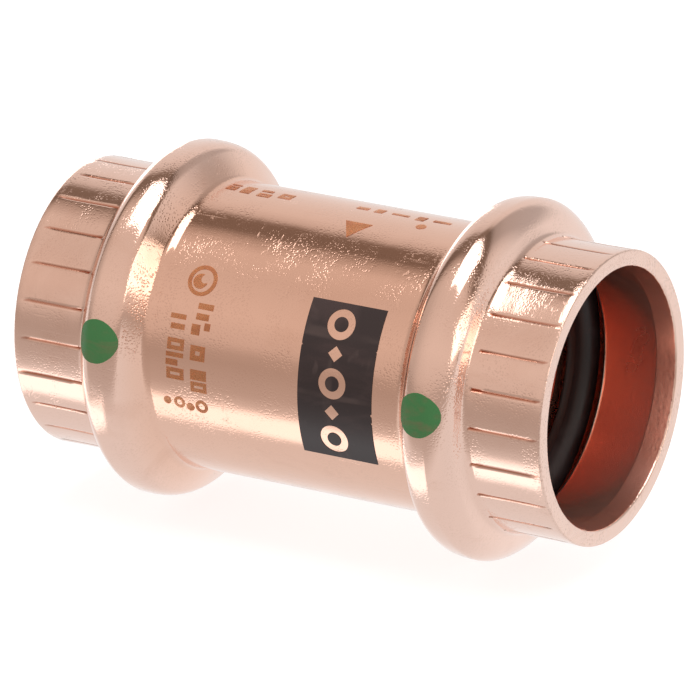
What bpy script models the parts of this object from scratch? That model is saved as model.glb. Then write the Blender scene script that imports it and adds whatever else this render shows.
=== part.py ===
"""Equal press coupling for nominal 1/2 inch copper tube, with its two sealing rings.

The coupling's axis lies along X and the origin is its centre. +Z is up, and the printed
panel and the two painted dots face -Y. All sizes are in metres.
"""
import math

import bmesh
import bpy
from mathutils import Matrix

MM = 0.001

# What the coupling joins, and its overall size
PIPE_DIAMETER = 15.875 * MM      # outside diameter of nominal 1/2 inch copper tube
LENGTH = 38.1 * MM               # rim to rim
PIPE_CLEARANCE = 0.13 * MM       # radial, between the tube and the guide bore
WALL = 1.18 * MM                 # copper wall of the tube stock

# Bead: the raised ring that holds the seal
BEAD_FROM_RIM = 6.99 * MM        # rim to bead crest, fixed by the press jaw
BEAD_WALL = 1.15 * MM            # wall at the crest
BEAD_FLANK_WALL = 0.77 * MM      # wall of the bead's inboard flank
BEAD_SHOULDER = 0.60 * MM        # crest to outboard foot, beyond the seal's half section
BEAD_INBOARD_SQUARENESS = 3.19   # exponent of the flank's superellipse
BEAD_OUTBOARD_SQUARENESS = 1.55
INBOARD_FILLET = 0.50 * MM
OUTBOARD_FILLET = 0.45 * MM
FLANK_FROM_FILLET = 1.2          # lowest point kept on a flank, in fillet radii above its foot

# Seal and the groove inside the bead
SEAL_SECTION = 2.10 * MM         # diameter of the rubber's round section
SEAL_SQUEEZE = 0.11 * MM         # how far the seal stands inside the tube's surface
SEAL_GAP = 0.30 * MM             # seal to groove flank
SEAL_CREST_GAP = 0.40 * MM       # seal to the groove's crest
GROOVE_MOUTH_LAP = 1.05 * MM     # groove's outboard edge, beyond the seal's half section
GROOVE_INBOARD_SQUARENESS = 3.2
GROOVE_OUTBOARD_SQUARENESS = 1.6

# Sleeve and mouth, outboard of each bead
SLEEVE_WALL = 1.26 * MM
RIM_ROUND = 0.13 * MM            # rounding of the rim's outer edge
MOUTH_FLARE_LENGTH = 1.32 * MM
MOUTH_FLARE_DEPTH = 0.28 * MM
FLARE_BEND_LENGTH = 0.55         # the flare bends at this share of its length
FLARE_BEND_DEPTH = 0.35          # where this share of its depth is left

# Guide lines scored along each sleeve
GUIDE_LINES = 24
GUIDE_LINE_WIDTH = 0.24 * MM
GUIDE_LINE_DEPTH = 0.12 * MM
GUIDE_LINE_FROM_CREST = 2.21 * MM
GUIDE_LINE_FROM_RIM = 0.40 * MM

# Printed panel and painted dots
FILM_GAP = 0.30 * MM
FILM_THICKNESS = 0.15 * MM
PANEL_WIDTH = 5.3 * MM           # along the axis
PANEL_ARC = 10.2 * MM            # round the tube
PANEL_FROM_CREST = 4.91 * MM     # panel's right edge to the right bead's crest
PANEL_ANGLE = 173.0              # degrees round X from +Y
DOT_DIAMETER = 2.9 * MM
DOT_RIGHT_FROM_CREST = 0.35 * MM  # dot's centre, inboard of the crest
DOT_LEFT_FROM_CREST = 0.53 * MM
DOT_RIGHT_ANGLE = 175.0
DOT_LEFT_ANGLE = 171.5

# Resolution
STEPS = 48                       # faces round the axis
FLANK_POINTS = 6                 # points on each flank of a bead
GROOVE_POINTS = 4
FILLET_POINTS = 2
DOT_SIDES = 24
SEAL_SECTION_SIDES = 12
CUT_MARGIN = 1.0 * MM            # how far a cutter runs past what it cuts

# Worked out from the values above
HALF_LENGTH = LENGTH / 2
GUIDE_RADIUS = PIPE_DIAMETER / 2 + PIPE_CLEARANCE
TUBE_RADIUS = GUIDE_RADIUS + WALL
SLEEVE_RADIUS = GUIDE_RADIUS + SLEEVE_WALL
CREST_X = HALF_LENGTH - BEAD_FROM_RIM
SEAL_INNER_RADIUS = PIPE_DIAMETER / 2 - SEAL_SQUEEZE
SEAL_CENTRE_RADIUS = SEAL_INNER_RADIUS + SEAL_SECTION / 2
GROOVE_CREST_RADIUS = SEAL_INNER_RADIUS + SEAL_SECTION + SEAL_CREST_GAP
BEAD_RADIUS = GROOVE_CREST_RADIUS + BEAD_WALL
GROOVE_INBOARD = SEAL_SECTION / 2 + SEAL_GAP
GROOVE_OUTBOARD = SEAL_SECTION / 2 + GROOVE_MOUTH_LAP
BEAD_INBOARD = GROOVE_INBOARD + BEAD_FLANK_WALL
BEAD_OUTBOARD = SEAL_SECTION / 2 + BEAD_SHOULDER


def flank(x, foot, crest, half_width, squareness):
    """Radius of a bead or groove flank at a distance x from its crest."""
    share = min(abs(x) / half_width, 1.0)
    return foot + (crest - foot) * (1 - share ** squareness) ** (1 / squareness)


def flank_points(centre, foot, crest, half_width, squareness, count, side):
    """Points from the crest down one flank, spaced evenly in angle. side is +1 or -1."""
    points = []
    for i in range(count + 1):
        offset = half_width * math.sin(math.pi / 2 * i / count)
        points.append((centre + side * offset, flank(offset, foot, crest, half_width, squareness)))
    return points


def fillet_points(foot_x, radius_at_foot, fillet, side):
    """Concave quarter round from a tube surface up to a flank that stands at foot_x."""
    points = []
    for i in range(FILLET_POINTS + 1):
        angle = math.pi / 2 * i / FILLET_POINTS
        points.append((foot_x + side * fillet * (1 - math.sin(angle)),
                       radius_at_foot + fillet * (1 - math.cos(angle))))
    return points


def bead_outline():
    """Outer surface from the tube, over the right-hand bead, to its sleeve."""
    inner_side = flank_points(CREST_X, TUBE_RADIUS, BEAD_RADIUS, BEAD_INBOARD,
                              BEAD_INBOARD_SQUARENESS, FLANK_POINTS, -1)
    outer_side = flank_points(CREST_X, SLEEVE_RADIUS, BEAD_RADIUS, BEAD_OUTBOARD,
                              BEAD_OUTBOARD_SQUARENESS, FLANK_POINTS, 1)
    inboard = fillet_points(CREST_X - BEAD_INBOARD, TUBE_RADIUS, INBOARD_FILLET, -1)
    outboard = fillet_points(CREST_X + BEAD_OUTBOARD, SLEEVE_RADIUS, OUTBOARD_FILLET, 1)
    inboard_foot = TUBE_RADIUS + INBOARD_FILLET * FLANK_FROM_FILLET
    outboard_foot = SLEEVE_RADIUS + OUTBOARD_FILLET * FLANK_FROM_FILLET
    rising = [p for p in reversed(inner_side) if p[1] > inboard_foot]
    falling = [p for p in outer_side[1:] if p[1] > outboard_foot]
    return inboard + rising + falling + outboard[::-1]


def rim_outline():
    """Outer edge of the rim, its flat face and the flared mouth, going inwards."""
    round_off = RIM_ROUND * (1 - math.sqrt(0.5))
    mouth = GUIDE_RADIUS + MOUTH_FLARE_DEPTH
    return [(HALF_LENGTH - RIM_ROUND, SLEEVE_RADIUS),
            (HALF_LENGTH - round_off, SLEEVE_RADIUS - round_off),
            (HALF_LENGTH, SLEEVE_RADIUS - RIM_ROUND),
            (HALF_LENGTH, mouth + RIM_ROUND),
            (HALF_LENGTH - RIM_ROUND, mouth),
            (HALF_LENGTH - MOUTH_FLARE_LENGTH * FLARE_BEND_LENGTH,
             GUIDE_RADIUS + MOUTH_FLARE_DEPTH * FLARE_BEND_DEPTH),
            (HALF_LENGTH - MOUTH_FLARE_LENGTH, GUIDE_RADIUS)]


def groove_outline():
    """Seal groove in the guide bore, from its outboard edge to its inboard edge."""
    outer_side = flank_points(CREST_X, GUIDE_RADIUS, GROOVE_CREST_RADIUS, GROOVE_OUTBOARD,
                              GROOVE_OUTBOARD_SQUARENESS, GROOVE_POINTS, 1)
    inner_side = flank_points(CREST_X, GUIDE_RADIUS, GROOVE_CREST_RADIUS, GROOVE_INBOARD,
                              GROOVE_INBOARD_SQUARENESS, GROOVE_POINTS, -1)
    return outer_side[::-1] + inner_side[1:]


def mirrored(points):
    return [(-x, r) for x, r in points]


def body_outline():
    """Closed outline of the coupling's wall: down its outside, and back up its bore."""
    outside = bead_outline() + rim_outline()[:3]
    inside = rim_outline()[3:] + groove_outline()
    return outside[::-1] + mirrored(outside) + mirrored(inside) + inside[::-1]


def offset_outline(points, distance):
    """The same outline moved outwards, square to its surface."""
    moved = []
    for i, (x, r) in enumerate(points):
        x0, r0 = points[max(i - 1, 0)]
        x1, r1 = points[min(i + 1, len(points) - 1)]
        length = math.hypot(x1 - x0, r1 - r0)
        moved.append((x - (r1 - r0) / length * distance, r + (x1 - x0) / length * distance))
    return moved


def clear_scene():
    for obj in list(bpy.data.objects):
        bpy.data.objects.remove(obj)


def make_collection(name):
    collection = bpy.data.collections.new(name)
    bpy.context.scene.collection.children.link(collection)
    return collection


def make_material(name, colour, roughness, metallic):
    material = bpy.data.materials.new(name)
    material.use_nodes = True
    shader = material.node_tree.nodes["Principled BSDF"]
    shader.inputs["Base Color"].default_value = (*colour, 1)
    shader.inputs["Roughness"].default_value = roughness
    shader.inputs["Metallic"].default_value = metallic
    return material


def add_object(name, mesh, collection, material=None):
    obj = bpy.data.objects.new(name, mesh)
    if material:
        mesh.materials.append(material)
    collection.objects.link(obj)
    return obj


def turned(name, outline, collection, material=None):
    """Solid of revolution about X from a closed outline of (x, radius) points."""
    mesh = bpy.data.meshes.new(name)
    edges = [(i, (i + 1) % len(outline)) for i in range(len(outline))]
    mesh.from_pydata([(r, 0, x) for x, r in outline], edges, [])
    obj = add_object(name, mesh, collection, material)
    obj.rotation_euler = (0, math.pi / 2, 0)
    screw = obj.modifiers.new("turn", "SCREW")
    screw.axis = "Z"
    screw.angle = 2 * math.pi
    screw.steps = STEPS
    screw.render_steps = STEPS
    screw.use_merge_vertices = True
    screw.merge_threshold = 0.01 * MM
    screw.use_smooth_shade = True
    return obj


def cut(obj, cutter, operation):
    boolean = obj.modifiers.new(cutter.name, "BOOLEAN")
    boolean.operation = operation
    boolean.solver = "EXACT"
    boolean.object = cutter


def as_cutter(obj):
    obj.hide_render = True
    obj.display_type = "WIRE"
    return obj


def guide_line_bars(collection):
    """One bar for each scored line, on both sleeves, joined in one cutter."""
    start = CREST_X + GUIDE_LINE_FROM_CREST
    end = HALF_LENGTH - GUIDE_LINE_FROM_RIM
    height = GUIDE_LINE_DEPTH + CUT_MARGIN
    mesh = bpy.data.meshes.new("guide_line_bars")
    bars = bmesh.new()
    for side in (-1, 1):
        for i in range(GUIDE_LINES):
            corners = bmesh.ops.create_cube(bars, size=1)["verts"]
            bmesh.ops.scale(bars, vec=(end - start, GUIDE_LINE_WIDTH, height), verts=corners)
            middle = SLEEVE_RADIUS - GUIDE_LINE_DEPTH + height / 2
            bmesh.ops.translate(bars, vec=(side * (start + end) / 2, 0, middle), verts=corners)
            turn = Matrix.Rotation(2 * math.pi * i / GUIDE_LINES, 3, "X")
            bmesh.ops.rotate(bars, cent=(0, 0, 0), matrix=turn, verts=corners)
    bars.to_mesh(mesh)
    bars.free()
    return as_cutter(add_object("guide_line_bars", mesh, collection))


def make_body(parts, cutters):
    copper = make_material("copper", (0.86, 0.52, 0.40), 0.28, 1.0)
    body = turned("coupling_body", body_outline(), parts, copper)
    cut(body, guide_line_bars(cutters), "DIFFERENCE")


def make_sealing_ring(name, side, parts, rubber):
    bpy.ops.mesh.primitive_torus_add(
        major_radius=SEAL_CENTRE_RADIUS, minor_radius=SEAL_SECTION / 2,
        major_segments=STEPS, minor_segments=SEAL_SECTION_SIDES,
        location=(side * CREST_X, 0, 0), rotation=(0, math.pi / 2, 0))
    ring = bpy.context.object
    ring.name = name
    ring.data.materials.append(rubber)
    for collection in list(ring.users_collection):
        collection.objects.unlink(ring)
    parts.objects.link(ring)


def film(name, outline, parts, material, cutter):
    """Thin film over an outline, trimmed to the cutter's shape."""
    lower = offset_outline(outline, FILM_GAP)
    upper = offset_outline(outline, FILM_GAP + FILM_THICKNESS)
    skin = turned(name, upper[::-1] + lower, parts, material)
    cut(skin, cutter, "INTERSECT")


def radial_place(x, angle, radius):
    """Location and rotation of a cutter whose Z points away from the axis."""
    theta = math.radians(angle)
    location = (x, radius * math.cos(theta), radius * math.sin(theta))
    return {"location": location, "rotation": (theta - math.pi / 2, 0, 0)}


def take_as_cutter(name, cutters):
    obj = bpy.context.object
    obj.name = name
    for collection in list(obj.users_collection):
        collection.objects.unlink(obj)
    cutters.objects.link(obj)
    return as_cutter(obj)


def make_panel(parts, cutters):
    ink = make_material("panel_ink", (0.03, 0.02, 0.025), 0.5, 0.0)
    right = CREST_X - PANEL_FROM_CREST
    middle = right - PANEL_WIDTH / 2
    half_angle = PANEL_ARC / TUBE_RADIUS / 2
    chord = 2 * (TUBE_RADIUS + FILM_GAP) * math.sin(half_angle)
    place = radial_place(middle, PANEL_ANGLE, TUBE_RADIUS)
    bpy.ops.mesh.primitive_cube_add(size=1, scale=(PANEL_WIDTH, chord, TUBE_RADIUS), **place)
    frame = take_as_cutter("panel_frame", cutters)
    ends = PANEL_WIDTH / 2 + CUT_MARGIN
    outline = [(middle - ends, TUBE_RADIUS), (middle + ends, TUBE_RADIUS)]
    film("label_patch", outline, parts, ink, frame)


def make_dot(name, side, inboard, angle, parts, cutters, paint):
    place = radial_place(side * (CREST_X - inboard), angle, BEAD_RADIUS)
    reach = BEAD_RADIUS - TUBE_RADIUS + CUT_MARGIN
    bpy.ops.mesh.primitive_cylinder_add(
        vertices=DOT_SIDES, radius=DOT_DIAMETER / 2, depth=2 * reach, **place)
    disc = take_as_cutter(name + "_disc", cutters)
    outline = bead_outline()
    if side < 0:
        outline = mirrored(outline)[::-1]
    film(name, outline, parts, paint, disc)


def main():
    clear_scene()
    parts = make_collection("press_coupling")
    cutters = make_collection("cutters")
    make_body(parts, cutters)
    rubber = make_material("seal_rubber", (0.02, 0.02, 0.02), 0.6, 0.0)
    make_sealing_ring("sealing_ring_right", 1, parts, rubber)
    make_sealing_ring("sealing_ring_left", -1, parts, rubber)
    make_panel(parts, cutters)
    paint = make_material("dot_paint", (0.05, 0.22, 0.08), 0.5, 0.0)
    make_dot("marking_dot_right", 1, DOT_RIGHT_FROM_CREST, DOT_RIGHT_ANGLE, parts, cutters, paint)
    make_dot("marking_dot_left", -1, DOT_LEFT_FROM_CREST, DOT_LEFT_ANGLE, parts, cutters, paint)


main()
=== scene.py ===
import math
import random

import bmesh
import bpy
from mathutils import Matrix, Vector


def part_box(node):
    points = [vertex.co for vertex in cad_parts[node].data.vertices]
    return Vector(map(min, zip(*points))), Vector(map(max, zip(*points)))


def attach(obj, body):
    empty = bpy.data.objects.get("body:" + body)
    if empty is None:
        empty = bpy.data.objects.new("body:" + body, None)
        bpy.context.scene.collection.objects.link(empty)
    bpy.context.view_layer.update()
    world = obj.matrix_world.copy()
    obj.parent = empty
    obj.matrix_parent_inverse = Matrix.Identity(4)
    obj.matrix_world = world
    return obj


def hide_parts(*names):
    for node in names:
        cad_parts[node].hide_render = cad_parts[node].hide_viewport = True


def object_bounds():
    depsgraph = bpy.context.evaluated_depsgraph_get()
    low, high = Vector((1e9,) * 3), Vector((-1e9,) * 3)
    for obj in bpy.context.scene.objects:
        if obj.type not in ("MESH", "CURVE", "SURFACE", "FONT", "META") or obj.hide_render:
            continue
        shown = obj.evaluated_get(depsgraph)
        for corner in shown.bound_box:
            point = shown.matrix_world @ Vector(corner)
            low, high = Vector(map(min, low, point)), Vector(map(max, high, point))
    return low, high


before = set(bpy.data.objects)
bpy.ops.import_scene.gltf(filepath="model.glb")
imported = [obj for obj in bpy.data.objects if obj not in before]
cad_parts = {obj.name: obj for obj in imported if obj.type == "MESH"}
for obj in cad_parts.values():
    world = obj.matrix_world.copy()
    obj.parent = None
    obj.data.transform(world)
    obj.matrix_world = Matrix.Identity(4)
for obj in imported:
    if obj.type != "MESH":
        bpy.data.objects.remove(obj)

# The coupling's axis is X, its centre is the origin, and the printed panel faces -Y.
# Angles round the axis are in degrees from +Y towards +Z, so 90 is the top and 180 the front.
MM = 0.001
cad_low, cad_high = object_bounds()
seal_low, seal_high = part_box("sealing_ring_right")
panel_low, panel_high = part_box("label_patch")
right_dot_low, right_dot_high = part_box("marking_dot_right")
left_dot_low, left_dot_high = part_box("marking_dot_left")

# Read from the frame
HALF_LENGTH = cad_high.x
BEAD_RADIUS = cad_high.z
SEAL_SECTION = seal_high.x - seal_low.x
SEAL_OUTER_RADIUS = seal_high.z
SEAL_CENTRE_RADIUS = SEAL_OUTER_RADIUS - SEAL_SECTION / 2
CREST_X = (seal_low.x + seal_high.x) / 2

# The body's own sizes
GUIDE_RADIUS = 8.0675 * MM       # bore that guides the pipe
TUBE_RADIUS = 9.2475 * MM        # plain middle, outside
SLEEVE_RADIUS = 9.3275 * MM      # sleeves, outside
SLEEVE_WAIST = 0.03 * MM         # how far a sleeve draws in between bead and rim
BEAD_WALL = 1.15 * MM
GROOVE_CREST_RADIUS = BEAD_RADIUS - BEAD_WALL
BEAD_INBOARD = 2.12 * MM         # half-width of the crest's curve, towards the middle
BEAD_OUTBOARD = 1.65 * MM        # the same, towards the rim
BEAD_INBOARD_SQUARENESS = 3.19   # 2 is an ellipse, and more is a squarer shoulder
BEAD_OUTBOARD_SQUARENESS = 1.55
BEAD_INBOARD_STEEPEST = 58       # degrees, where the flank runs straight into the fillet at its foot
BEAD_OUTBOARD_STEEPEST = 65
BEAD_INBOARD_FILLET = 0.70 * MM
BEAD_OUTBOARD_FILLET = 0.60 * MM
GROOVE_INBOARD = 1.35 * MM
GROOVE_OUTBOARD = 1.72 * MM
GROOVE_INBOARD_SQUARENESS = 3.2
GROOVE_OUTBOARD_SQUARENESS = 1.6
GROOVE_LIP = 0.45 * MM           # rounding where the bore turns into a groove
RIM_ROUND = 0.15 * MM
RIM_ARC_STEPS = 4
MOUTH_FLARE_LENGTH = 1.32 * MM
MOUTH_FLARE_DEPTH = 0.22 * MM
SPIN_STEPS = 480                 # columns of faces round the axis
COLUMN = 360 / SPIN_STEPS        # degrees
MERGE = 0.0005 * MM              # vertices nearer than this are one

# Scored guide lines
GUIDE_LINES = 24
LINE_START = CREST_X + 2.02 * MM
LINE_END = HALF_LENGTH - 0.38 * MM
LINE_DEPTH = 0.080 * MM
LINE_START_SPREAD = 0.10 * MM    # no two lines start and end at quite the same place
LINE_END_SPREAD = 0.35 * MM
LEFT_LINE_TURN = -2              # columns by which the left sleeve's lines are turned
# Each press: how far it runs from the start, which lines are deep enough for it, its share of the depth
LINE_PRESSES = ((HALF_LENGTH, 0.0, 0.6), (HALF_LENGTH, 0.8, 0.25), (4 * MM, 0.0, 0.15), (0.6 * MM, 0.0, 0.5))

# Films of ink and paint
FILM_LIFT = 0.010 * MM
FILM_THICKNESS = 0.018 * MM
PANEL_START = 141.4              # degrees
PANEL_END = 205.0
DOT_RADIUS = 1.41 * MM
DOT_SHIFT = 0.12 * MM            # both dots sit this much to the left of their plain places
DOT_THICKNESS = 1.6 * FILM_THICKNESS
DOT_SPAN = 24                    # degrees of bead that the dot is cut from
DOT_RAGGED = 0.018 * MM          # how uneven its edge is

# Cutters reach from inside the bore to well outside the beads
CUTTER_INNER = 4 * MM
CUTTER_OUTER = 20 * MM

random.seed(7)


# ---------------------------------------------------------------- modelling helpers

def deselect_all():
    if bpy.context.object and bpy.context.object.mode != "OBJECT":
        bpy.ops.object.mode_set(mode="OBJECT")
    bpy.ops.object.select_all(action="DESELECT")


def edit(piece, mode="VERT"):
    """Opens one piece in edit mode with nothing selected."""
    deselect_all()
    piece.select_set(True)
    bpy.context.view_layer.objects.active = piece
    bpy.ops.object.mode_set(mode="EDIT")
    bpy.ops.mesh.select_mode(type=mode)
    bpy.ops.mesh.select_all(action="DESELECT")


def close_edit():
    bpy.ops.object.mode_set(mode="OBJECT")


def select_verts(piece, chosen):
    """Selects the vertices for which chosen(co) is true, in edit mode."""
    mesh = bmesh.from_edit_mesh(piece.data)
    for vert in mesh.verts:
        vert.select_set(chosen(vert.co))
    mesh.select_flush_mode()
    bmesh.update_edit_mesh(piece.data)


def select_faces(piece, chosen):
    mesh = bmesh.from_edit_mesh(piece.data)
    for face in mesh.faces:
        face.select_set(chosen(face.calc_center_median(), face.normal))
    bmesh.update_edit_mesh(piece.data)


def tidy_normals():
    bpy.ops.mesh.select_all(action="SELECT")
    bpy.ops.mesh.remove_doubles(threshold=MERGE)
    bpy.ops.mesh.normals_make_consistent(inside=False)


def smooth(piece, angle):
    deselect_all()
    piece.select_set(True)
    bpy.context.view_layer.objects.active = piece
    bpy.ops.object.shade_smooth_by_angle(angle=math.radians(angle))


def apply_modifier(piece, kind, **settings):
    deselect_all()
    piece.select_set(True)
    bpy.context.view_layer.objects.active = piece
    modifier = piece.modifiers.new("step", kind)
    for name, value in settings.items():
        setattr(modifier, name, value)
    bpy.ops.object.modifier_apply(modifier=modifier.name)


def apply_place(piece):
    deselect_all()
    piece.select_set(True)
    bpy.context.view_layer.objects.active = piece
    bpy.ops.object.transform_apply(location=True, rotation=True, scale=True)


def drawn_line(name, points, angle):
    """A line of (x, radius) points, extruded one after the other in the half-plane at an angle."""
    theta = math.radians(angle)
    deselect_all()
    bpy.ops.mesh.primitive_circle_add(vertices=3, radius=0.05 * MM)
    piece = bpy.context.object
    piece.name = name
    piece.data.name = name
    bpy.ops.object.mode_set(mode="EDIT")
    bpy.ops.mesh.select_all(action="SELECT")
    bpy.ops.mesh.merge(type="CENTER")
    places = [Vector((x, r * math.cos(theta), r * math.sin(theta))) for x, r in points]
    bpy.ops.transform.translate(value=places[0])
    for before, after in zip(places, places[1:]):
        bpy.ops.mesh.extrude_vertices_move(TRANSFORM_OT_translate={"value": after - before})
    return piece


def spun(name, points, steps=SPIN_STEPS, start=90, sweep=360):
    """The line turned round the X axis."""
    piece = drawn_line(name, points, start)
    bpy.ops.mesh.select_all(action="SELECT")
    bpy.ops.mesh.remove_doubles(threshold=MERGE)
    bpy.ops.mesh.select_all(action="SELECT")
    bpy.ops.mesh.spin(steps=steps, angle=-math.radians(sweep), center=(0, 0, 0), axis=(1, 0, 0))
    tidy_normals()
    close_edit()
    return piece


def radial_place(cutter, x, angle, tilt=0):
    """Stands a cutter out from the axis at x and an angle, tilted about its own line."""
    theta = math.radians(angle)
    middle = (CUTTER_INNER + CUTTER_OUTER) / 2
    cutter.rotation_mode = "ZYX"
    cutter.rotation_euler = (theta - math.pi / 2, 0, math.radians(tilt))
    cutter.location = (x, middle * math.cos(theta), middle * math.sin(theta))
    return cutter


def radial_cylinder(x, angle, radius, sides=96, tilt=0):
    deselect_all()
    bpy.ops.mesh.primitive_cylinder_add(vertices=sides, radius=radius, depth=CUTTER_OUTER - CUTTER_INNER)
    return radial_place(bpy.context.object, x, angle, tilt)


def radial_bar(x, angle, length, width):
    """A box cutter: length along the axis, width round it."""
    deselect_all()
    bpy.ops.mesh.primitive_cube_add(size=1, scale=(length, width, CUTTER_OUTER - CUTTER_INNER))
    return radial_place(bpy.context.object, x, angle)


def boolean(piece, cutter, operation):
    """Cuts with a throw-away cutter."""
    apply_modifier(piece, "BOOLEAN", operation=operation, solver="EXACT", object=cutter)
    bpy.data.objects.remove(cutter)


def film_sheet(name, x_range, angles, step=COLUMN):
    """A thin closed film on the tube between two x places and two angles."""
    low, high = x_range
    columns = max(2, round((angles[1] - angles[0]) / step))
    radius = TUBE_RADIUS + FILM_LIFT
    piece = spun(name, [(low, radius), (high, radius)], columns, angles[0], angles[1] - angles[0])
    edit(piece)
    bpy.ops.mesh.select_all(action="SELECT")
    facing = bmesh.from_edit_mesh(piece.data)
    facing.faces.ensure_lookup_table()
    first = facing.faces[0]
    outward = Vector((0, *first.calc_center_median().yz))
    if first.normal.dot(outward) < 0:
        bpy.ops.mesh.flip_normals()
    close_edit()
    apply_modifier(piece, "SOLIDIFY", thickness=FILM_THICKNESS, offset=1)
    return piece


def joined(name, pieces):
    deselect_all()
    for piece in pieces:
        piece.select_set(True)
    bpy.context.view_layer.objects.active = pieces[0]
    bpy.ops.object.join()
    pieces[0].name = name
    pieces[0].data.name = name
    return pieces[0]


# ---------------------------------------------------------------- material helpers

def put(tree, kind, inputs=None, **settings):
    """Adds a node. An input given as a socket is linked, and any other value is set."""
    made = tree.nodes.new(kind)
    for name, value in settings.items():
        setattr(made, name, value)
    for key, value in (inputs or {}).items():
        socket = made.inputs[key]
        if isinstance(value, bpy.types.NodeSocket):
            tree.links.new(value, socket)
        else:
            socket.default_value = value
    return made


def maths(tree, operation, a, b=0.0, c=0.0, clamp=False):
    return put(tree, "ShaderNodeMath", {0: a, 1: b, 2: c}, operation=operation, use_clamp=clamp).outputs[0]


def product(tree, first, *others):
    for other in others:
        first = maths(tree, "MULTIPLY", first, other)
    return first


def mix_colour(tree, factor, a, b):
    made = put(tree, "ShaderNodeMix", data_type="RGBA")
    for socket, value in zip((made.inputs[0], made.inputs[6], made.inputs[7]), (factor, a, b)):
        if isinstance(value, bpy.types.NodeSocket):
            tree.links.new(value, socket)
        else:
            socket.default_value = value
    return made.outputs[2]


def remap(tree, value, low, high, to_low=0.0, to_high=1.0):
    """Smooth step of a value from low..high to to_low..to_high."""
    made = put(tree, "ShaderNodeMapRange", {"Value": value, "From Min": low, "From Max": high,
                                            "To Min": to_low, "To Max": to_high},
               interpolation_type="SMOOTHSTEP")
    return made.outputs["Result"]


def object_coordinates(tree, scale=(1, 1, 1), turn=(0, 0, 0)):
    """The piece's own coordinates, stretched and turned."""
    place = put(tree, "ShaderNodeTexCoord").outputs["Object"]
    mapping = put(tree, "ShaderNodeMapping", {"Vector": place, "Scale": scale, "Rotation": turn})
    return mapping.outputs["Vector"]


def along_axis(tree, low, high):
    """0 at a distance low from the middle of the coupling, 1 at high, on both sides."""
    x = put(tree, "ShaderNodeSeparateXYZ", {0: object_coordinates(tree)}).outputs["X"]
    return remap(tree, maths(tree, "ABSOLUTE", x), low, high)


def noise(tree, vector, scale, detail=3.0):
    made = put(tree, "ShaderNodeTexNoise", {"Vector": vector, "Scale": scale, "Detail": detail})
    return made.outputs["Fac"]


def new_group(name, inputs, outputs):
    tree = bpy.data.node_groups.new(name, "ShaderNodeTree")
    for label, value in inputs.items():
        socket = tree.interface.new_socket(label, in_out="INPUT", socket_type="NodeSocketFloat")
        socket.default_value = value
    for label in outputs:
        tree.interface.new_socket(label, in_out="OUTPUT", socket_type="NodeSocketFloat")
    start = tree.nodes.new("NodeGroupInput")
    end = tree.nodes.new("NodeGroupOutput")
    return tree, start, end


def hairlines_group():
    """Short straight scratches in four directions. Height falls in one, and Mask is 1 there."""
    tree, start, end = new_group("hairlines", {"Scale": 900.0, "Amount": 0.5}, ("Height", "Mask"))
    total = None
    for stretch, turn in (((0.05, 1, 1), (0, 0, 0.1)), ((1, 0.05, 0.6), (0.5, 0.3, 0.9)),
                          ((0.7, 1, 0.05), (0.9, 0.2, 0.4)), ((1, 0.9, 0.05), (0.2, 0.5, 0))):
        vector = object_coordinates(tree, stretch, turn)
        lines = put(tree, "ShaderNodeTexNoise", {"Vector": vector, "Scale": start.outputs["Scale"],
                                                 "Detail": 2.0, "Roughness": 0.55}).outputs["Fac"]
        line = remap(tree, lines, 0.63, 0.72)
        total = line if total is None else maths(tree, "MAXIMUM", total, line)
    patch = remap(tree, noise(tree, object_coordinates(tree), 240.0, 3.0), 0.44, 0.64, 0.12, 1.0)
    mask = maths(tree, "MULTIPLY", product(tree, total, patch), start.outputs["Amount"], clamp=True)
    tree.links.new(maths(tree, "MULTIPLY", mask, -1.0), end.inputs["Height"])
    tree.links.new(mask, end.inputs["Mask"])
    return tree


def pits_group():
    """Faint orange peel with clusters of small pits."""
    tree, start, end = new_group("pits", {"Scale": 2200.0, "Pitting": 0.5}, ("Height", "Mask"))
    vector = object_coordinates(tree)
    grain = put(tree, "ShaderNodeTexNoise", {"Vector": vector, "Scale": start.outputs["Scale"],
                                             "Detail": 3.0, "Roughness": 0.6}).outputs["Fac"]
    cells = put(tree, "ShaderNodeTexVoronoi", {"Vector": vector, "Scale": start.outputs["Scale"],
                                               "Randomness": 1.0}).outputs["Distance"]
    clusters = remap(tree, noise(tree, vector, 520.0, 3.0), 0.36, 0.60)
    pit = maths(tree, "MULTIPLY", remap(tree, cells, 0.02, 0.55, 1.0, 0.0), clusters)
    mask = maths(tree, "MULTIPLY", pit, start.outputs["Pitting"], clamp=True)
    height = maths(tree, "MULTIPLY_ADD", grain, 0.35, maths(tree, "MULTIPLY", mask, -1.0))
    tree.links.new(height, end.inputs["Height"])
    tree.links.new(mask, end.inputs["Mask"])
    return tree


def tarnish_group():
    """Cloudy patches of oxide, broken up at their edges."""
    tree, start, end = new_group("tarnish", {"Scale": 180.0, "Cover": 0.5}, ("Mask",))
    vector = object_coordinates(tree, (0.55, 1, 1))
    clouds = put(tree, "ShaderNodeTexNoise", {"Vector": vector, "Scale": start.outputs["Scale"],
                                              "Detail": 6.0, "Roughness": 0.62,
                                              "Distortion": 0.6}).outputs["Fac"]
    level = maths(tree, "SUBTRACT", 1.0, start.outputs["Cover"])
    rise = maths(tree, "SUBTRACT", clouds, maths(tree, "MULTIPLY_ADD", level, 0.4, 0.28))
    tree.links.new(remap(tree, rise, 0.0, 0.16), end.inputs["Mask"])
    return tree


GROUPS = {"hairlines": hairlines_group(), "pits": pits_group(), "tarnish": tarnish_group()}


def grouped(tree, name, **values):
    made = put(tree, "ShaderNodeGroup", node_tree=GROUPS[name])
    for label, value in values.items():
        made.inputs[label].default_value = value
    return made.outputs


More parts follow.
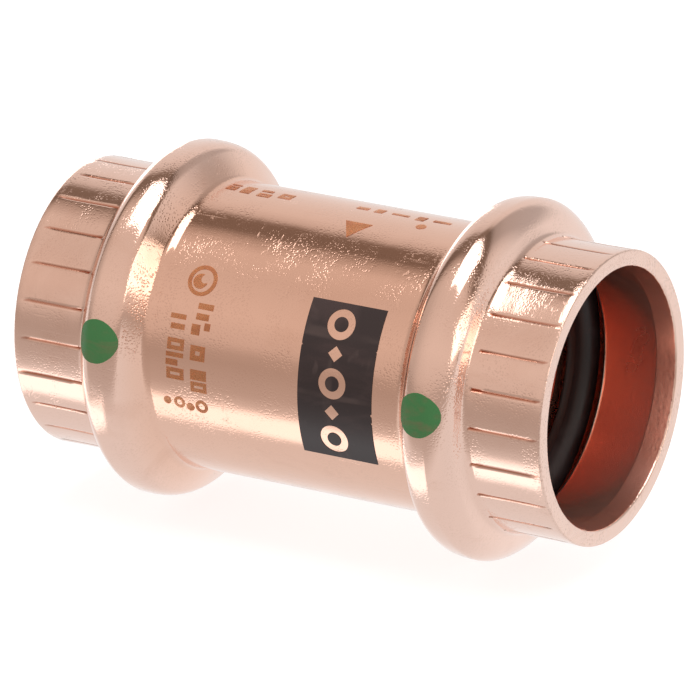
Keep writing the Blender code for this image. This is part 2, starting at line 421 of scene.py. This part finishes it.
def new_material(name, metallic=0.0, **constants):
    material = bpy.data.materials.new(name)
    material.use_nodes = True
    shader = material.node_tree.nodes["Principled BSDF"]
    shader.inputs["Metallic"].default_value = metallic
    for label, value in constants.items():
        shader.inputs[label.replace("_", " ")].default_value = value
    return material, material.node_tree, shader


def finish_material(tree, shader, colour, roughness, height=None, distance=0.01 * MM):
    tree.links.new(colour, shader.inputs["Base Color"])
    tree.links.new(roughness, shader.inputs["Roughness"])
    if height is not None:
        bump = put(tree, "ShaderNodeBump", {"Height": height, "Distance": distance})
        tree.links.new(bump.outputs["Normal"], shader.inputs["Normal"])


# ---------------------------------------------------------------- materials

def copper_skin():
    """Outside of the body: satin pink copper, paler at the formed ends, with grain, a little oxide, and
    red-brown painted shade in the scored lines.
    """
    material, tree, shader = new_material("copper_skin", 1.0)
    tarnish = grouped(tree, "tarnish", Scale=170.0, Cover=0.42)["Mask"]
    lines = grouped(tree, "hairlines", Scale=2600.0, Amount=0.9)
    pits = grouped(tree, "pits", Scale=6200.0, Pitting=1.0)
    turned = noise(tree, object_coordinates(tree, (1, 0.10, 0.10)), 2600.0, 3.0)
    rings = noise(tree, object_coordinates(tree, (1, 0.12, 0.12)), 800.0, 1.0)
    sway = noise(tree, object_coordinates(tree, (1, 0.45, 0.45)), 330.0, 1.0)
    score = put(tree, "ShaderNodeAttribute", attribute_name="score").outputs["Fac"]
    score = maths(tree, "POWER", score, 0.6)
    rub = remap(tree, noise(tree, object_coordinates(tree), 190.0, 2.0), 0.40, 0.60, 0.55, 1.0)
    ends = along_axis(tree, CREST_X - 1.3 * BEAD_INBOARD, CREST_X - 0.6 * BEAD_INBOARD)

    middle_copper = (0.94, 0.595, 0.46, 1)
    formed_copper = (0.975, 0.675, 0.56, 1)
    oxide = (0.76, 0.43, 0.31, 1)
    pit_brown = (0.42, 0.20, 0.15, 1)
    score_shade_red = (0.52, 0.17, 0.085, 1)
    colour = mix_colour(tree, ends, middle_copper, formed_copper)
    colour = mix_colour(tree, maths(tree, "MULTIPLY", tarnish, 0.22), colour, oxide)
    colour = mix_colour(tree, maths(tree, "MULTIPLY", pits["Mask"], 0.12), colour, pit_brown)
    # Red-brown painted shade in the scored lines, strongest at the bottom of each groove
    colour = mix_colour(tree, score, colour, score_shade_red)
    rough = maths(tree, "MULTIPLY_ADD", tarnish, 0.07, 0.095)
    rough = maths(tree, "MULTIPLY_ADD", lines["Mask"], 0.15, rough)
    rough = maths(tree, "MULTIPLY_ADD", score, 0.20, rough)
    height = product(tree, pits["Height"], rub, 0.72)
    height = maths(tree, "MULTIPLY_ADD", lines["Height"], 0.35, height)
    height = maths(tree, "MULTIPLY_ADD", turned, 0.25, height)
    height = maths(tree, "MULTIPLY_ADD", rings, 0.6, height)
    height = maths(tree, "MULTIPLY_ADD", sway, 1.9, height)
    finish_material(tree, shader, colour, rough, height, 0.012 * MM)
    return material


def copper_rim():
    """Sawn and deburred end faces: paler and rougher, with a dented grain."""
    material, tree, shader = new_material("copper_rim", 1.0)
    grain = grouped(tree, "pits", Scale=5200.0, Pitting=0.7)
    lines = grouped(tree, "hairlines", Scale=3600.0, Amount=1.0)
    worn = maths(tree, "MULTIPLY", grain["Mask"], 0.45)
    colour = mix_colour(tree, worn, (0.95, 0.67, 0.56, 1), (0.50, 0.26, 0.20, 1))
    rough = maths(tree, "MULTIPLY_ADD", lines["Mask"], 0.15, 0.22)
    dents = noise(tree, object_coordinates(tree), 1300.0, 2.0)
    height = maths(tree, "MULTIPLY_ADD", lines["Height"], 0.7, maths(tree, "MULTIPLY", grain["Height"], 1.2))
    height = maths(tree, "MULTIPLY_ADD", dents, 4.0, height)
    finish_material(tree, shader, colour, rough, height, 0.014 * MM)
    return material


def copper_bore():
    """Inside of the body: deep red copper with a brown bloom, and painted light that makes it paler towards
    the mouth.
    """
    material, tree, shader = new_material("copper_bore", 0.88)
    tarnish = grouped(tree, "tarnish", Scale=230.0, Cover=0.45)["Mask"]
    lines = grouped(tree, "hairlines", Scale=2000.0, Amount=0.8)
    pits = grouped(tree, "pits", Scale=2600.0, Pitting=0.6)
    # Painted light: the bore grows paler from the groove out to the mouth, where light comes in
    mouth = along_axis(tree, CREST_X + GROOVE_OUTBOARD, HALF_LENGTH - MOUTH_FLARE_LENGTH)
    deep_copper = (0.96, 0.48, 0.36, 1)
    mouth_lit_copper = (0.98, 0.58, 0.47, 1)
    bloom = (0.78, 0.36, 0.28, 1)
    pit_brown = (0.25, 0.09, 0.06, 1)
    colour = mix_colour(tree, mouth, deep_copper, mouth_lit_copper)
    colour = mix_colour(tree, maths(tree, "MULTIPLY", tarnish, 0.7), colour, bloom)
    colour = mix_colour(tree, maths(tree, "MULTIPLY", pits["Mask"], 0.2), colour, pit_brown)
    rough = maths(tree, "MULTIPLY_ADD", tarnish, 0.10, 0.22)
    height = maths(tree, "MULTIPLY_ADD", lines["Height"], 0.4, maths(tree, "MULTIPLY", pits["Height"], 0.4))
    finish_material(tree, shader, colour, rough, height, 0.012 * MM)
    return material


def seal_rubber():
    """Moulded black rubber with a thin smear of grease."""
    material, tree, shader = new_material("seal_rubber_black", 0.0, Specular_IOR_Level=0.5)
    smear = grouped(tree, "tarnish", Scale=300.0, Cover=0.5)["Mask"]
    grain = grouped(tree, "pits", Scale=5000.0, Pitting=0.3)
    colour = mix_colour(tree, smear, (0.020, 0.014, 0.015, 1), (0.036, 0.028, 0.030, 1))
    rough = maths(tree, "MULTIPLY_ADD", smear, 0.12, 0.44)
    finish_material(tree, shader, colour, rough, grain["Height"], 0.006 * MM)
    return material


def panel_ink():
    """Printed black panel, a little rubbed."""
    material, tree, shader = new_material("panel_ink_black", 0.0, Specular_IOR_Level=0.5)
    rub = grouped(tree, "tarnish", Scale=260.0, Cover=0.45)["Mask"]
    lines = grouped(tree, "hairlines", Scale=800.0, Amount=0.7)
    colour = mix_colour(tree, rub, (0.036, 0.021, 0.022, 1), (0.058, 0.034, 0.034, 1))
    colour = mix_colour(tree, maths(tree, "MULTIPLY", lines["Mask"], 0.5), colour, (0.16, 0.11, 0.10, 1))
    rough = maths(tree, "MULTIPLY_ADD", rub, 0.12, 0.34)
    finish_material(tree, shader, colour, rough, lines["Height"], 0.006 * MM)
    return material


def dot_paint():
    """Thick green marker paint."""
    material, tree, shader = new_material("dot_paint_green", 0.0, Specular_IOR_Level=0.4)
    cloud = grouped(tree, "tarnish", Scale=500.0, Cover=0.5)["Mask"]
    pits = grouped(tree, "pits", Scale=1700.0, Pitting=0.7)
    colour = mix_colour(tree, cloud, (0.062, 0.240, 0.078, 1), (0.135, 0.205, 0.085, 1))
    colour = mix_colour(tree, maths(tree, "MULTIPLY", pits["Mask"], 0.4), colour, (0.20, 0.16, 0.08, 1))
    rough = maths(tree, "MULTIPLY_ADD", cloud, 0.12, 0.48)
    finish_material(tree, shader, colour, rough, pits["Height"], 0.022 * MM)
    return material


def mark_ink():
    """Thin orange-brown ink that lets the copper glow through."""
    material, tree, shader = new_material("mark_ink_orange", 0.6)
    patchy = grouped(tree, "tarnish", Scale=900.0, Cover=0.5)["Mask"]
    colour = mix_colour(tree, patchy, (0.84, 0.37, 0.15, 1), (0.70, 0.28, 0.14, 1))
    rough = maths(tree, "MULTIPLY_ADD", patchy, 0.1, 0.38)
    finish_material(tree, shader, colour, rough)
    wear = maths(tree, "MULTIPLY_ADD", patchy, 0.35, 0.42)
    tree.links.new(wear, shader.inputs["Alpha"])
    return material


# ---------------------------------------------------------------- the body

def flank(offset, foot, crest, half_width, squareness):
    """Radius of a bead or groove at an offset from its crest."""
    share = min(abs(offset) / half_width, 1.0)
    return foot + (crest - foot) * (1 - share ** squareness) ** (1 / squareness)


def groove_side(half_width, squareness, count, side):
    """Crest to foot down one side of the groove."""
    points = []
    for i in range(count + 1):
        offset = half_width * math.sin(math.pi / 2 * i / count)
        radius = flank(offset, GUIDE_RADIUS, GROOVE_CREST_RADIUS, half_width, squareness)
        points.append((CREST_X + side * offset, radius))
    return points


def fillet_points(foot_x, foot_radius, fillet, side, count=6):
    """Concave quarter round from a plain surface up to a flank that stands at foot_x."""
    points = []
    for i in range(count + 1):
        turn = math.pi / 2 * i / count
        points.append((foot_x + side * fillet * (1 - math.sin(turn)),
                       foot_radius + fillet * (1 - math.cos(turn))))
    return points


def bead_side(foot, half_width, squareness, steepest, fillet, side, count=17, arc_count=8):
    """Crest to plain surface: the flank down to its steepest slope, straight on, then an arc at its foot."""
    height = BEAD_RADIUS - foot
    slope = math.radians(steepest)
    share = 0.5
    while (height / half_width * share ** (squareness - 1)
           * (1 - share ** squareness) ** (1 / squareness - 1)) < math.tan(slope):
        share += 0.001
    points = []
    for i in range(count + 1):
        offset = half_width * share * math.sin(math.pi / 2 * i / count)
        points.append((CREST_X + side * offset, flank(offset, foot, BEAD_RADIUS, half_width, squareness)))
    rise = points[-1][1] - foot
    straight = (rise - fillet * (1 - math.cos(slope))) / math.tan(slope)
    end_offset = half_width * share + straight
    for i in range(arc_count + 1):
        turn = slope * (1 - i / arc_count)
        points.append((CREST_X + side * (end_offset + fillet * (math.sin(slope) - math.sin(turn))),
                       foot + fillet * (1 - math.cos(turn))))
    return points


def bead_points():
    """Outer surface from the plain tube over a bead to its sleeve."""
    inner = bead_side(TUBE_RADIUS, BEAD_INBOARD, BEAD_INBOARD_SQUARENESS,
                      BEAD_INBOARD_STEEPEST, BEAD_INBOARD_FILLET, -1)
    outer = bead_side(SLEEVE_RADIUS, BEAD_OUTBOARD, BEAD_OUTBOARD_SQUARENESS,
                      BEAD_OUTBOARD_STEEPEST, BEAD_OUTBOARD_FILLET, 1)
    return inner[::-1] + outer[1:]


def sleeve_points(count=12):
    """Outer surface of a sleeve, drawn in a little between bead and rim."""
    start = bead_points()[-1][0]
    end = HALF_LENGTH - RIM_ROUND
    points = []
    for i in range(1, count):
        share = i / count
        points.append((start + (end - start) * share,
                       SLEEVE_RADIUS - SLEEVE_WAIST * math.sin(math.pi * share)))
    return points


def rim_points():
    """Rounded outer edge, flat face, rounded inner edge and cone of the mouth, going inwards."""
    mouth = GUIDE_RADIUS + MOUTH_FLARE_DEPTH
    points = []
    for i in range(RIM_ARC_STEPS + 1):
        turn = math.pi / 2 * i / RIM_ARC_STEPS
        points.append((HALF_LENGTH - RIM_ROUND * (1 - math.sin(turn)),
                       SLEEVE_RADIUS - RIM_ROUND * (1 - math.cos(turn))))
    for i in range(RIM_ARC_STEPS + 1):
        turn = math.pi / 2 * i / RIM_ARC_STEPS
        points.append((HALF_LENGTH - RIM_ROUND * (1 - math.cos(turn)),
                       mouth + RIM_ROUND * (1 - math.sin(turn))))
    for share in (0.3, 0.6, 0.9, 0.96, 1.0, 1.06):      # close together where the cone meets the bore
        points.append((HALF_LENGTH - RIM_ROUND - (MOUTH_FLARE_LENGTH - RIM_ROUND) * share,
                       GUIDE_RADIUS + max(0, MOUTH_FLARE_DEPTH * (1 - share))))
    return points


def groove_points():
    """Seal groove from its outboard lip to its inboard edge."""
    outer = groove_side(GROOVE_OUTBOARD, GROOVE_OUTBOARD_SQUARENESS, 10, 1)
    inner = groove_side(GROOVE_INBOARD, GROOVE_INBOARD_SQUARENESS, 9, -1)
    lip = fillet_points(CREST_X + GROOVE_OUTBOARD, GUIDE_RADIUS, GROOVE_LIP, 1)
    rising = [p for p in reversed(outer) if p[1] > GUIDE_RADIUS + GROOVE_LIP * 1.15]
    return lip + rising + inner[1:]


def mirrored(points):
    return [(-x, r) for x, r in points]


def body_outline():
    rim = rim_points()
    outside = bead_points() + sleeve_points() + rim[:RIM_ARC_STEPS + 1]
    inside = rim[RIM_ARC_STEPS + 1:] + groove_points()
    outline = outside[::-1] + mirrored(outside) + mirrored(inside) + inside[::-1]
    return outline + outline[:1]


def column_of(co):
    """Which column round the axis a vertex stands in, counted from +Y."""
    return round(math.degrees(math.atan2(co.z, co.y)) / COLUMN) % SPIN_STEPS


def score_lines(body):
    """Presses the guide lines in, each a little different, and deeper where it starts at the bead."""
    pitch = SPIN_STEPS // GUIDE_LINES
    edit(body)
    for side in (-1, 1):
        shift = LEFT_LINE_TURN if side < 0 else 0
        depth = [random.uniform(0.6, 1.0) for i in range(GUIDE_LINES)]
        start = [LINE_START - random.uniform(0, 1) * LINE_START_SPREAD for i in range(GUIDE_LINES)]
        end = [LINE_END - random.uniform(0, 1) * LINE_END_SPREAD for i in range(GUIDE_LINES)]

        def in_line(co, length, share):
            column = (column_of(co) - shift) % SPIN_STEPS
            i = column // pitch
            outside = math.hypot(co.y, co.z) > SLEEVE_RADIUS - 2.5 * LINE_DEPTH
            return (outside and column % pitch == 0 and depth[i] > share
                    and start[i] < side * co.x < min(end[i], start[i] + length))

        for length, share, press in LINE_PRESSES:
            select_verts(body, lambda co: in_line(co, length, share))
            scale = 1 - LINE_DEPTH * press / SLEEVE_RADIUS
            bpy.ops.transform.resize(value=(1, scale, scale), center_override=(0, 0, 0))
    close_edit()


def paint_scores(body):
    """Marks how deep each vertex lies below the plain sleeve, for the material's painted shade in the scored
    lines.
    """
    margin = 0.3 * MM
    level = {}
    for vert in body.data.vertices:
        radius = math.hypot(vert.co.y, vert.co.z)
        level.setdefault(round(vert.co.x / MERGE), []).append(radius)
    outer = {key: max(radii) for key, radii in level.items()}
    attribute = body.data.attributes.new("score", "FLOAT", "POINT")
    for vert in body.data.vertices:
        radius = math.hypot(vert.co.y, vert.co.z)
        drop = outer[round(vert.co.x / MERGE)] - radius
        on_sleeve = LINE_START - margin < abs(vert.co.x) < LINE_END and radius > SLEEVE_RADIUS - margin
        attribute.data[vert.index].value = min(1.0, drop / LINE_DEPTH) if on_sleeve else 0.0


def make_body():
    body = spun("copper_body", body_outline())
    body.data.materials.append(copper_skin())
    body.data.materials.append(copper_bore())
    body.data.materials.append(copper_rim())
    edge = HALF_LENGTH - RIM_ROUND

    def in_bore(centre, normal):
        return abs(centre.x) < edge and normal.y * centre.y + normal.z * centre.z < 0

    def on_rim(centre, normal):
        return abs(centre.x) > edge

    # The groove lip takes the paler, glossier outside copper: its paler colour is a painted highlight on that
    # edge, and its gloss is real
    def on_lip_highlight(centre, normal):
        beyond = abs(centre.x) - (CREST_X + GROOVE_OUTBOARD)
        inside = math.hypot(centre.y, centre.z) < GUIDE_RADIUS + GROOVE_LIP
        return 0 < beyond < 0.7 * GROOVE_LIP and inside

    edit(body, "FACE")
    for index, chosen in ((1, in_bore), (2, on_rim), (0, on_lip_highlight)):
        select_faces(body, chosen)
        body.active_material_index = index
        bpy.ops.object.material_slot_assign()
    close_edit()
    score_lines(body)
    paint_scores(body)
    smooth(body, 38)
    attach(body, "root")
    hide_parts("coupling_body")


# ---------------------------------------------------------------- the seals

SEAL_RIDGE = 0.03 * MM           # height of the mould's parting ridge
SEAL_RIDGE_REACH = 0.02 * MM     # how near the middle a vertex is to be part of it


def make_seal(name, node, side, rubber):
    """Round-section rubber ring with the mould's parting ridge on its inner and outer middle."""
    centre = side * CREST_X
    deselect_all()
    bpy.ops.mesh.primitive_torus_add(
        major_radius=SEAL_CENTRE_RADIUS, minor_radius=SEAL_SECTION / 2,
        major_segments=240, minor_segments=64,
        location=(centre, 0, 0), rotation=(0, math.pi / 2, 0))
    ring = bpy.context.object
    ring.name = name
    ring.data.name = name
    apply_place(ring)
    edit(ring)
    for sign, radius in ((-1, SEAL_CENTRE_RADIUS), (1, SEAL_OUTER_RADIUS)):
        select_verts(ring, lambda co: abs(co.x - centre) < SEAL_RIDGE_REACH
                     and sign * (math.hypot(co.y, co.z) - SEAL_CENTRE_RADIUS) > 0)
        scale = 1 + sign * SEAL_RIDGE / radius
        bpy.ops.transform.resize(value=(1, scale, scale), center_override=(centre, 0, 0))
    close_edit()
    smooth(ring, 60)
    ring.data.materials.append(rubber)
    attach(ring, "root")
    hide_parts(node)


# ---------------------------------------------------------------- films

PANEL_FIRST_RING = 150.0         # degrees
PANEL_RING_PITCH = 23.2
PANEL_RINGS = 3
PANEL_RING_RADIUS = 0.98 * MM
PANEL_RING_CORE = 0.48 * MM
PANEL_DIAMOND = 0.52 * MM        # centre to corner
# Small chips in the panel's edges: which end, angle, radius (mm)
PANEL_CHIPS = ((1, 183.0, 0.10), (1, 186.4, 0.07), (0, 160.0, 0.06), (1, 158.0, 0.05))


def make_panel():
    """Black panel with a plain motif of rings and diamonds left open to the copper."""
    low, high = panel_low.x, panel_high.x
    panel = film_sheet("black_panel", (low, high), (PANEL_START, PANEL_END), 0.5)
    middle = low + (high - low) * 0.46
    for i in range(PANEL_RINGS):
        angle = PANEL_FIRST_RING + PANEL_RING_PITCH * i
        ring = radial_cylinder(middle, angle, PANEL_RING_RADIUS)
        boolean(ring, radial_cylinder(middle, angle, PANEL_RING_CORE), "DIFFERENCE")
        boolean(panel, ring, "DIFFERENCE")
    for i in range(PANEL_RINGS - 1):
        angle = PANEL_FIRST_RING + PANEL_RING_PITCH * (i + 0.5)
        boolean(panel, radial_cylinder(middle, angle, PANEL_DIAMOND, 4), "DIFFERENCE")
    for end, angle, radius in PANEL_CHIPS:
        boolean(panel, radial_cylinder((low, high)[end], angle, radius * MM, 7), "DIFFERENCE")
    panel.data.materials.clear()
    panel.data.materials.append(panel_ink())
    smooth(panel, 30)
    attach(panel, "root")
    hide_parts("label_patch")


def lifted(points, distance):
    """The same line, moved outwards square to the surface."""
    moved = []
    for i, (x, r) in enumerate(points):
        x0, r0 = points[max(i - 1, 0)]
        x1, r1 = points[min(i + 1, len(points) - 1)]
        length = math.hypot(x1 - x0, r1 - r0)
        moved.append((x - (r1 - r0) / length * distance, r + (x1 - x0) / length * distance))
    return moved


def make_dot(name, node, box, paint):
    """Round dab of paint that follows the bead."""
    low, high = box
    x = (low.x + high.x) / 2 - DOT_SHIFT
    middle = (low + high) / 2
    angle = math.degrees(math.atan2(middle.z, middle.y)) % 360
    outline = bead_points()
    if x < 0:
        outline = mirrored(outline)[::-1]
    outline = [p for p in outline if low.x - MM < p[0] < high.x + MM]
    under = lifted(outline, FILM_LIFT)
    over = lifted(outline, FILM_LIFT + DOT_THICKNESS)
    ring = under + over[::-1] + under[:1]
    dot = spun(name, ring, DOT_SPAN * 2, angle - DOT_SPAN / 2, DOT_SPAN)
    edit(dot)
    bpy.ops.mesh.select_non_manifold()
    bpy.ops.mesh.edge_face_add()
    tidy_normals()
    close_edit()
    disc = radial_cylinder(x, angle, DOT_RADIUS, 72)
    edit(disc)
    bpy.ops.mesh.select_all(action="SELECT")
    bpy.ops.transform.vertex_random(offset=DOT_RAGGED, seed=3)
    close_edit()
    boolean(dot, disc, "INTERSECT")
    dot.data.materials.clear()
    dot.data.materials.append(paint)
    smooth(dot, 40)
    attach(dot, "root")
    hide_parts(node)


# Orange print. Blocks: x from, x to (mm), first angle, last angle, hollow or not
LOWER_BLOCKS = (
    (-5.9, -4.8, 152.0, 154.4, False), (-5.9, -5.0, 156.0, 158.6, False), (-6.1, -5.5, 160.4, 164.6, False),
    (-5.2, -4.8, 159.4, 162.4, False), (-6.0, -4.95, 168.6, 174.6, True), (-5.95, -4.8, 178.2, 182.4, False),
    (-5.95, -4.8, 183.2, 187.4, True), (-7.7, -6.6, 157.6, 159.6, False), (-7.6, -6.6, 161.4, 163.6, False),
    (-7.7, -6.5, 167.2, 171.8, True), (-7.75, -6.5, 172.8, 174.6, False), (-7.75, -6.9, 175.6, 178.0, False),
    (-7.7, -6.45, 179.0, 183.6, True))
TOP_BLOCKS = (
    (-8.7, -8.0, 86.4, 87.6, False), (-8.7, -8.0, 89.0, 93.0, True), (-7.6, -6.9, 86.4, 94.0, False),
    (-6.4, -5.6, 87.0, 89.0, False), (-6.3, -5.4, 91.0, 94.4, True), (-4.9, -4.0, 87.4, 92.6, True),
    (0.5, 1.3, 86.0, 88.8, False), (1.8, 2.4, 85.0, 89.4, False), (3.0, 4.2, 86.6, 88.2, False),
    (4.8, 5.4, 85.2, 89.8, False), (6.0, 7.2, 86.4, 88.4, False))
# Rings and dots: x (mm), angle, radius (mm), bore (mm)
MARK_RINGS = (
    (-7.78, 193.4, 0.27, 0.0), (-6.90, 193.4, 0.40, 0.20), (-6.12, 194.6, 0.28, 0.0),
    (-5.28, 193.6, 0.45, 0.24), (5.8, 95.4, 0.34, 0.0))
HOLLOW_WALL = 0.36               # share of a hollow block's shorter side


def make_block(low, high, first, last, hollow):
    block = film_sheet("mark", (low * MM, high * MM), (first, last))
    if hollow:
        length = (high - low) * MM
        width = math.radians(last - first) * TUBE_RADIUS
        wall = min(length, width) * HOLLOW_WALL
        core = radial_bar((low + high) / 2 * MM, (first + last) / 2, length - 2 * wall, width - 2 * wall)
        boolean(block, core, "DIFFERENCE")
    return block


def make_mark_ring(x, angle, radius, bore):
    half = 1.2 * radius * MM
    reach = math.degrees(half / TUBE_RADIUS)
    ring = film_sheet("mark", (x * MM - half, x * MM + half), (angle - reach, angle + reach))
    boolean(ring, radial_cylinder(x * MM, angle, radius * MM, 32), "INTERSECT")
    if bore:
        boolean(ring, radial_cylinder(x * MM, angle, bore * MM, 32), "DIFFERENCE")
    return ring


def make_emblem():
    """A plain ring, and the crescent inside it."""
    ring = film_sheet("mark", (-7.2 * MM, -5.0 * MM), (135.0, 151.0))
    boolean(ring, radial_cylinder(-6.12 * MM, 143.2, 1.02 * MM), "INTERSECT")
    boolean(ring, radial_cylinder(-6.12 * MM, 143.2, 0.76 * MM), "DIFFERENCE")
    crescent = film_sheet("mark", (-6.9 * MM, -5.4 * MM), (138.5, 148.0))
    boolean(crescent, radial_cylinder(-6.25 * MM, 143.6, 0.5 * MM), "INTERSECT")
    boolean(crescent, radial_cylinder(-5.95 * MM, 142.4, 0.3 * MM), "DIFFERENCE")
    return [ring, crescent]


def make_triangle():
    triangle = film_sheet("mark", (0.8 * MM, 3.0 * MM), (96.0, 114.0))
    boolean(triangle, radial_cylinder(1.9 * MM, 104.6, 1.12 * MM, 3, 180), "INTERSECT")
    return triangle


def make_marks():
    """Orange print: a round emblem over two columns of plain blocks, and marks near the top."""
    pieces = [make_block(*block) for block in LOWER_BLOCKS + TOP_BLOCKS]
    pieces += [make_mark_ring(*ring) for ring in MARK_RINGS]
    pieces += make_emblem()
    pieces.append(make_triangle())
    marks = joined("orange_print", pieces)
    marks.data.materials.clear()
    marks.data.materials.append(mark_ink())
    smooth(marks, 30)
    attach(marks, "root")


# ---------------------------------------------------------------- stage, light and camera

def make_floor():
    """Pale floor under the beads. The copper's surroundings come from the sky, not from it."""
    deselect_all()
    bpy.ops.mesh.primitive_plane_add(size=3, location=(0, 0, cad_low.z))
    floor = bpy.context.object
    floor.name = "studio_floor"
    material, tree, shader = new_material("floor_white", 0.0)
    grain = noise(tree, object_coordinates(tree), 40.0, 2.0)
    colour = mix_colour(tree, grain, (0.46, 0.46, 0.46, 1), (0.48, 0.48, 0.48, 1))
    finish_material(tree, shader, colour, maths(tree, "MULTIPLY_ADD", grain, 0.1, 0.7))
    shader.inputs["Emission Color"].default_value = (1, 1, 1, 1)
    shader.inputs["Emission Strength"].default_value = 0.76
    floor.data.materials.append(material)
    floor.visible_glossy = False
    floor.visible_diffuse = False


def soft_box(name, place, aim, width, height, radiance, tint=(1, 1, 1)):
    """Area light whose face has the given radiance."""
    light = bpy.data.lights.new(name, "AREA")
    light.shape = "RECTANGLE"
    light.size = width
    light.size_y = height
    light.energy = radiance * math.pi * width * height
    light.color = tint
    lamp = bpy.data.objects.new(name, light)
    bpy.context.scene.collection.objects.link(lamp)
    lamp.location = place
    lamp.rotation_euler = (Vector(aim) - Vector(place)).to_track_quat("-Z", "Y").to_euler()
    lamp.visible_camera = False


# The room round the coupling: degrees up from the front, over the top, to the back, how bright it is
# there, and how warm
SKY_BANDS = (
    (-180, 0.86, -0.2), (-140, 0.94, -0.3), (-112, 0.80, -0.2), (-76, 0.77, -0.1), (-50, 0.78, 0),
    (-42, 0.70, 0.3), (-32, 0.54, 0.8), (-8, 0.46, 1.3), (0, 0.50, 1.3), (8, 0.66, 1.2), (30, 0.75, 1.2),
    (60, 0.68, 1.3), (82, 0.70, 1.4), (94, 0.46, 1.8), (101, 0.20, 2.6), (114, 0.21, 2.6), (120, 0.62, 0.9),
    (130, 0.75, 0.6), (155, 0.80, 0.1), (180, 0.86, -0.2))


def make_sky():
    """White backdrop for the camera; for the metal, a pale room with a dark gap behind the top light."""
    world = bpy.data.worlds.new("studio")
    bpy.context.scene.world = world
    world.use_nodes = True
    tree = world.node_tree
    tree.nodes.clear()
    way = put(tree, "ShaderNodeTexCoord").outputs["Generated"]
    axes = put(tree, "ShaderNodeSeparateXYZ", {0: way}).outputs
    turn = maths(tree, "ARCTAN2", axes["Z"], maths(tree, "MULTIPLY", axes["Y"], -1.0))
    share = maths(tree, "MULTIPLY_ADD", turn, 0.5 / math.pi, 0.5)
    ramp = put(tree, "ShaderNodeValToRGB", {"Fac": share})
    stops = ramp.color_ramp.elements
    while len(stops) < len(SKY_BANDS):
        stops.new(0.5)
    for stop, (angle, level, warmth) in zip(stops, SKY_BANDS):
        stop.position = (angle + 180) / 360
        stop.color = (level, level * (1 - 0.09 * warmth), level * (1 - 0.15 * warmth), 1)

    # the wall on the left is dimmer
    aside = product(tree, remap(tree, axes["X"], -0.92, -0.42, 1.0, 0.0), remap(tree, axes["Z"], -0.15, 0.05),
                    remap(tree, axes["Y"], 0.15, 0.5, 1.0, 0.0))
    level = maths(tree, "MULTIPLY_ADD", aside, -0.24, 1.0)
    # and so is the corner at the back on the right
    corner = product(tree, remap(tree, axes["X"], 0.0, 0.2), remap(tree, axes["X"], 0.5, 0.8, 1.0, 0.0),
                     remap(tree, axes["Y"], 0.15, 0.5), remap(tree, axes["Z"], 0.1, 0.35))
    level = maths(tree, "MULTIPLY_ADD", corner, -0.40, level)
    # a sunlit strip crosses the floor on the left
    down = maths(tree, "MAXIMUM", maths(tree, "MULTIPLY", axes["Z"], -1.0), 0.05)
    floor_x = maths(tree, "DIVIDE", axes["X"], down)
    floor_y = maths(tree, "DIVIDE", axes["Y"], down)
    across = maths(tree, "MULTIPLY_ADD", floor_x, -0.64, maths(tree, "MULTIPLY", floor_y, -0.77))
    strip = product(tree, remap(tree, across, 0.66, 0.80), remap(tree, across, 1.10, 1.42, 1.0, 0.0),
                    remap(tree, floor_x, -0.50, -0.30, 1.0, 0.0),
                    remap(tree, axes["Z"], -0.30, -0.12, 1.0, 0.0))
    level = maths(tree, "MULTIPLY_ADD", strip, 0.95, level)

    room = put(tree, "ShaderNodeBackground", {"Color": ramp.outputs["Color"], "Strength": level})
    white = put(tree, "ShaderNodeBackground", {"Color": (1, 1, 1, 1), "Strength": 1.0})
    seen = put(tree, "ShaderNodeLightPath").outputs["Is Camera Ray"]
    both = put(tree, "ShaderNodeMixShader", {0: seen, 1: room.outputs[0], 2: white.outputs[0]})
    put(tree, "ShaderNodeOutputWorld", {"Surface": both.outputs[0]})


def make_lights():
    soft_box("top_light", place=(0.08, -0.018, 0.40), aim=(0.08, 0, 0), width=0.51, height=0.24, radiance=2.1)
    soft_box("left_back_light", place=(-0.290, 0.276, 0.0), aim=(0, 0, 0), width=0.15, height=0.28,
             radiance=1.5)
    soft_box("right_light", place=(0.40, -0.02, 0.11), aim=(0, 0, 0), width=0.16, height=0.12, radiance=1.5,
             tint=(1.0, 0.94, 0.86))


CAMERA_AZIMUTH = 30.62           # degrees from the front towards the right
CAMERA_ELEVATION = 18.97
CAMERA_DISTANCE = 457.0 * MM
CAMERA_LENS = 373.2              # mm, on a sensor 36 mm wide


def make_camera():
    azimuth = math.radians(CAMERA_AZIMUTH)
    elevation = math.radians(CAMERA_ELEVATION)
    back = Vector((math.sin(azimuth) * math.cos(elevation),
                   -math.cos(azimuth) * math.cos(elevation), math.sin(elevation)))
    camera = bpy.data.cameras.new("studio_camera")
    camera.lens = CAMERA_LENS
    camera.sensor_width = 36
    camera.shift_x = 0.0031
    camera.shift_y = -0.0034
    camera.clip_start = 0.01
    camera.clip_end = 10
    holder = bpy.data.objects.new("studio_camera", camera)
    bpy.context.scene.collection.objects.link(holder)
    holder.location = back * CAMERA_DISTANCE
    holder.rotation_euler = (-back).to_track_quat("-Z", "Y").to_euler()
    bpy.context.scene.camera = holder
    bpy.context.scene.view_settings.view_transform = "Standard"


make_body()
rubber = seal_rubber()
make_seal("right_seal", "sealing_ring_right", 1, rubber)
make_seal("left_seal", "sealing_ring_left", -1, rubber)
make_panel()
paint = dot_paint()
make_dot("right_green_dot", "marking_dot_right", (right_dot_low, right_dot_high), paint)
make_dot("left_green_dot", "marking_dot_left", (left_dot_low, left_dot_high), paint)
make_marks()
make_floor()
make_sky()
make_lights()
make_camera()
